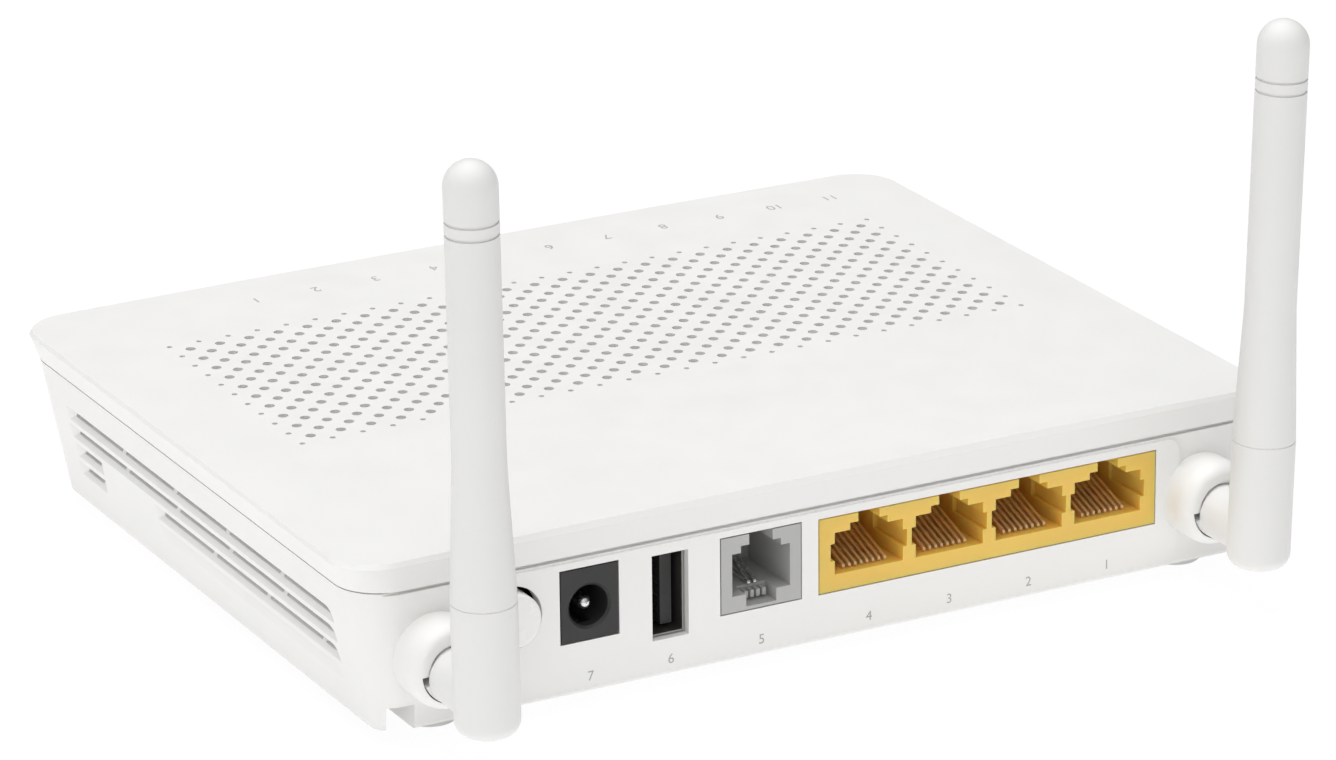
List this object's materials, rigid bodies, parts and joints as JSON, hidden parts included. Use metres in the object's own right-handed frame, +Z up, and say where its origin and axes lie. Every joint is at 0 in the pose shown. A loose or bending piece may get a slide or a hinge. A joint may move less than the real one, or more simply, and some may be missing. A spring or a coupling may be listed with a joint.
{
  "type": "optical network terminal",
  "caption": "Low white desktop optical network terminal with vented cover, rear socket panel, round power button, fibre bay and swivelling antennas.",
  "frame": {"origin": "middle of the outline in plan, antennas included, on the plane of the desk", "axes": "+Z up from the desk, +Y out of the socket panel, +X towards the power jack's side"},
  "size_m": [0.158, 0.1458, 0.0934],
  "materials": {
    "white_plastic": "satin",
    "foot_rubber": "matte",
    "steel": "satin",
    "board": "satin",
    "yellow_plastic": "satin",
    "contact_metal": "polished",
    "grey_plastic": "satin",
    "tin_steel": "satin",
    "black_plastic": "satin",
    "button_plastic": "gloss",
    "clear_plastic": "frosted",
    "led_resin": "gloss",
    "green_plastic": "satin",
    "ceramic": "gloss",
    "chip_resin": "matte",
    "sink_aluminium": "anodised",
    "capacitor_sleeve": "gloss",
    "lead_jacket": "satin"
  },
  "bodies": {
    "housing": {"top_cover": "white_plastic", "bottom_case": "white_plastic", "rubber_feet": "foot_rubber", "case_screws": "steel", "main_board": "board", "board_screws": "steel", "lan_block": "yellow_plastic", "lan_contacts": "contact_metal", "tel_jack": "grey_plastic", "tel_contacts": "contact_metal", "usb_shell": "tin_steel", "usb_tongue": "black_plastic", "usb_contacts": "contact_metal", "dc_jack": "black_plastic", "dc_pin": "tin_steel", "dc_spring": "tin_steel", "power_switch": "black_plastic", "tact_switches": "black_plastic", "light_guide": "clear_plastic", "status_leds": "led_resin", "optical_adapter": "green_plastic", "ferrule_sleeve": "ceramic", "optical_module": "tin_steel", "processor": "chip_resin", "heat_sink": "sink_aluminium", "shield_cans": "tin_steel", "line_transformers": "chip_resin", "capacitors": "capacitor_sleeve", "rf_connectors": "contact_metal", "antenna_leads": "lead_jacket"},
    "power_button_body": {"power_button": "button_plastic", "power_plunger": "black_plastic"},
    "wlan_button_body": {"wlan_button": "button_plastic"},
    "wps_button_body": {"wps_button": "button_plastic"},
    "reset_button_body": {"reset_button": "black_plastic"},
    "left_antenna": {"left_antenna_foot": "white_plastic", "left_antenna_whip": "white_plastic", "left_antenna_core": "contact_metal"},
    "right_antenna": {"right_antenna_foot": "white_plastic", "right_antenna_whip": "white_plastic", "right_antenna_core": "contact_metal"}
  },
  "joints": [
    {"name": "left_antenna_swivel", "type": "hinge", "parent": "housing", "child": "left_antenna", "pos_m": [0.0656, 0.05572, 0.0131], "axis": [0, 1, 0], "range_deg": [-15.6, 89.4]},
    {"name": "right_antenna_swivel", "type": "hinge", "parent": "housing", "child": "right_antenna", "pos_m": [-0.0656, 0.05572, 0.0131], "axis": [0, 1, 0], "range_deg": [-13.4, 91.6]},
    {"name": "power_press", "type": "slide", "parent": "housing", "child": "power_button_body", "axis": [0, -1, 0], "range_m": [0, 0.002], "stiffness_N_per_m": 600, "springref_m": -0.002},
    {"name": "wlan_press", "type": "slide", "parent": "housing", "child": "wlan_button_body", "axis": [1, 0, 0], "range_m": [0, 0.0004], "stiffness_N_per_m": 1500, "springref_m": -0.0004},
    {"name": "wps_press", "type": "slide", "parent": "housing", "child": "wps_button_body", "axis": [1, 0, 0], "range_m": [0, 0.0004], "stiffness_N_per_m": 1500, "springref_m": -0.0004},
    {"name": "reset_press", "type": "slide", "parent": "housing", "child": "reset_button_body", "axis": [1, 0, 0], "range_m": [0, 0.0004], "stiffness_N_per_m": 1500, "springref_m": -0.0004}
  ]
}
